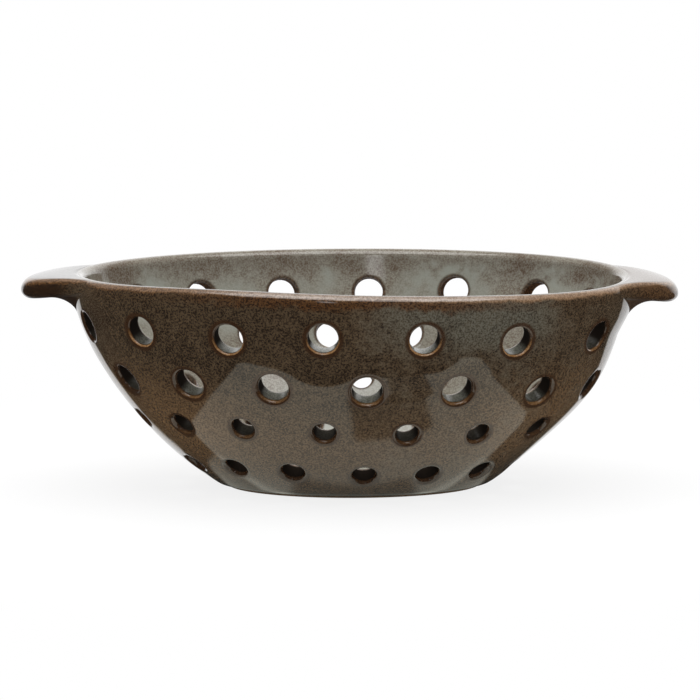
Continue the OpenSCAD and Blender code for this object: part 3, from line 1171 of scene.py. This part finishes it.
# Grain of the clay, streaks in its glaze, and where the glaze ends and how that wanders
CLAY_SPECKS = (1500, 3, 0.7)
CLAY_STREAKS = (260, 3, 0.6)
STREAK_FADE = (0.35, 0.65)
GLAZE_END = mm(0.4, 0.9)
GLAZE_END_NOISE = (90, 2)
GLAZE_END_WANDER = 0.6 * MM


def bare_clay(name):
    """Bare clay underneath, with a dark, streaked glaze above."""
    clay = Finish(name)
    body = clay.mix(clay.noise(*CLAY_SPECKS), CLAY, CLAY_GRAIN)
    streak = clay.rise(clay.noise(*CLAY_STREAKS), *STREAK_FADE)
    glazed = clay.rise(clay.z + GLAZE_END_WANDER * (clay.noise(*GLAZE_END_NOISE) - 0.5), *GLAZE_END)
    clay.paint("Base Color", clay.mix(glazed, body, clay.mix(streak, SHADE_AND_BLACK_GLAZE, RUST)))
    clay.paint("Roughness", 0.85 - 0.72 * glazed)
    return clay.material


# Stage, light and camera

TABLE_SIZE = 6
PAPER = (0.85, 0.85, 0.85)
PAPER_ROUGHNESS = 0.9
# How much of the bowl's shadow the table keeps, and where it fades out round the bowl
SHADOW_SHARE = 0.16
SHADOW_NEAR = 0.12
SHADOW_FAR = 0.26
# What the table shows in the glaze: left, right, front, back, round corners, soft edge, strength
TABLE_PATCHES = [
    (*mm(-83, 91, -110, -27, 9, 1.5), 0.57),
    (*mm(0, 40, -92, -63, 4, 2.5), -0.5),
    (*mm(22, 46, -125, -85, 4, 2.5), -0.5),
    # Painted shadow of the bowl on the table by its foot, as the glaze mirrors it
    (*mm(-24, 24, -41, -20, 5, 3), -0.36),
    (*mm(-62, 58, -30, -13, 6, 2.5), 0.33),
]
# Behind the bowl the table shows white between two lines: slope and how far left it meets the X axis
BEHIND_LINES = [(1.12, 74 * MM), (-0.68, -40 * MM)]
BEHIND_SOFT = 6 * MM
BEHIND_LIGHT = 0.85
DARK_TABLE = 0.03
WARM_TABLE = (1.0, 1.0, 0.87)


def patch_share(paper, left, right, front, back, corner, soft):
    """1 on a patch of the table with round corners, and 0 round it."""
    past_x = (paper.x - (left + right) / 2).size() - ((right - left) / 2 - corner)
    past_y = (paper.y - (front + back) / 2).size() - ((back - front) / 2 - corner)
    past_x = past_x.at_least(0)
    past_y = past_y.at_least(0)
    outside = (past_x * past_x + past_y * past_y).root() - corner
    return paper.fall(outside, -soft, soft)


def build_stage():
    """A white table. In the glaze it shows dark, with pale patches in front and white behind the bowl."""
    unselect()
    bpy.ops.mesh.primitive_plane_add(size=TABLE_SIZE, location=(0, 0, 0))
    floor = start_piece("white_table")
    paper = Finish("white_paper")
    paper.paint("Base Color", PAPER)
    paper.paint("Roughness", PAPER_ROUGHNESS)
    paper.paint("Specular IOR Level", 0.0)
    strength = DARK_TABLE
    for *sides, light in TABLE_PATCHES:
        strength = strength + light * patch_share(paper, *sides)
    behind = paper.rise(paper.y, 0, BEHIND_SOFT)
    for slope, meets in BEHIND_LINES:
        behind = behind * paper.rise(paper.y + slope * (paper.x + meets), -BEHIND_SOFT, BEHIND_SOFT)
    strength = (strength + BEHIND_LIGHT * behind).at_least(DARK_TABLE)
    tint = paper.mix(behind, WARM_TABLE, WHITE)
    seen = paper.node("ShaderNodeEmission", {}, {"Color": tint, "Strength": strength})
    white = paper.node("ShaderNodeEmission", {}, {"Color": WHITE, "Strength": 1.0})
    lit = Tint(paper, paper.shader.outputs[0])
    near_bowl = paper.fall(paper.x * paper.x + paper.y * paper.y, SHADOW_NEAR ** 2, SHADOW_FAR ** 2)
    unshaded = paper.ray("Is Camera Ray") * (1 - SHADOW_SHARE * near_bowl)
    plain = paper.node("ShaderNodeMixShader", {}, {0: unshaded, 1: lit, 2: white})
    ground = paper.node("ShaderNodeMixShader", {}, {0: paper.ray("Is Glossy Ray"), 1: plain, 2: seen})
    paper.feed(paper.tree.nodes["Material Output"].inputs["Surface"], ground)
    floor.data.materials.append(paper.material)


# The even light of the room, and what the glaze mirrors of its front
AMBIENT = 0.55
DARK_ROOM = 0.04
# Directions in which the backdrop begins and is full, a little turned, and in which the front ends
BACKDROP = (0.55, 0.85)
BACKDROP_TURN = 0.18
IN_FRONT_END = (-0.05, 0.15)
# A window and an overhead soft box that show in the glaze: left, right, low and high edge, and light
WINDOWS = [(-0.125, -0.095, 0.14, 0.4, 1.5), (-0.45, 0.5, 0.72, 0.98, 2.0)]
WINDOW_SOFT = 0.05


def window_share(room, value, low, high):
    """1 between two edges of a window, fading past them."""
    return room.rise(value, low - WINDOW_SOFT, low) * room.fall(value, high, high + WINDOW_SOFT)


def build_world():
    """White to the camera. The glaze mirrors a white back, a dark front and two lights."""
    world = bpy.data.worlds.new("studio")
    bpy.context.scene.world = world
    world.use_nodes = True
    room = Bench(world.node_tree)
    room.place_on("Generated")
    gloss = DARK_ROOM + room.rise(room.y + BACKDROP_TURN * room.x, *BACKDROP)
    in_front = room.fall(room.y, *IN_FRONT_END)
    for left, right, low, high, light in WINDOWS:
        across = window_share(room, room.x, left, right)
        gloss = gloss + light * in_front * across * window_share(room, room.z, low, high)
    mirrored = room.ray("Is Glossy Ray")
    straight = (room.ray("Is Camera Ray") + room.ray("Is Transmission Ray")).clipped()
    strength = straight + (1 - straight) * (mirrored * gloss + (1 - mirrored) * AMBIENT)
    back = world.node_tree.nodes["Background"]
    room.feed(back.inputs["Color"], WHITE)
    room.feed(back.inputs["Strength"], strength)


OVERHEAD_AT = Vector((0, 0.1, 1.3))
OVERHEAD_AIM = Vector((0, 0, 0.05))
OVERHEAD_SIZE = (2.0, 1.6)
OVERHEAD_POWER = 26


def build_light():
    """One large soft light overhead, which doesn't show in the glaze."""
    data = bpy.data.lights.new("overhead", "AREA")
    data.shape = "RECTANGLE"
    data.size, data.size_y = OVERHEAD_SIZE
    data.energy = OVERHEAD_POWER
    light = bpy.data.objects.new("overhead", data)
    bpy.context.scene.collection.objects.link(light)
    light.location = OVERHEAD_AT
    light.rotation_euler = (OVERHEAD_AIM - OVERHEAD_AT).to_track_quat("-Z", "Y").to_euler()
    light.visible_glossy = False


# The camera, fitted to the photo: the last three are in its pixels
CAMERA_AWAY = 1.6
CAMERA_AIM = Vector((0, 0, 0.04))
CAMERA_ELEVATION = math.radians(8.553)
CAMERA_ROLL = math.radians(-0.177)
SENSOR = 36
PHOTO_WIDTH = 700
FOCUS_PX = 4238.6
CENTRE_PX = (353.75, 378.89)


def build_camera():
    data = bpy.data.cameras.new("camera")
    camera = bpy.data.objects.new("camera", data)
    bpy.context.scene.collection.objects.link(camera)
    back = Vector((0, -math.cos(CAMERA_ELEVATION), math.sin(CAMERA_ELEVATION)))
    camera.location = CAMERA_AIM + CAMERA_AWAY * back
    camera.rotation_mode = "XYZ"
    camera.rotation_euler = (math.pi / 2 - CAMERA_ELEVATION, 0, 0)
    camera.rotation_euler.rotate_axis("Z", CAMERA_ROLL)
    data.sensor_width = SENSOR
    data.lens = FOCUS_PX / PHOTO_WIDTH * SENSOR
    data.shift_x = (PHOTO_WIDTH / 2 - CENTRE_PX[0]) / PHOTO_WIDTH
    data.shift_y = (CENTRE_PX[1] - PHOTO_WIDTH / 2) / PHOTO_WIDTH
    bpy.context.scene.camera = camera


build_camera()
build_world()
build_stage()
build_light()
bpy.context.scene.view_settings.view_transform = "Standard"

glaze = reactive_glaze("reactive_glaze")
clay = bare_clay("bare_clay")
for piece, node, slot, material in (
    (build_wall(), "bowl_wall", "glaze", glaze),
    (build_lip(), "rim_lip", "edge_glaze", glaze),
    (build_floor(), "bowl_floor", "inner_glaze", glaze),
    (build_foot(), "foot_ring", "clay", clay),
    (build_ear("left_ear", *LEFT_EAR), "left_handle", "glaze", glaze),
    (build_ear("right_ear", *RIGHT_EAR), "right_handle", "glaze", glaze),
):
    piece.data.materials.clear()
    piece.data.materials.append(material)
    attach(piece, "root")
    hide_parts(node)
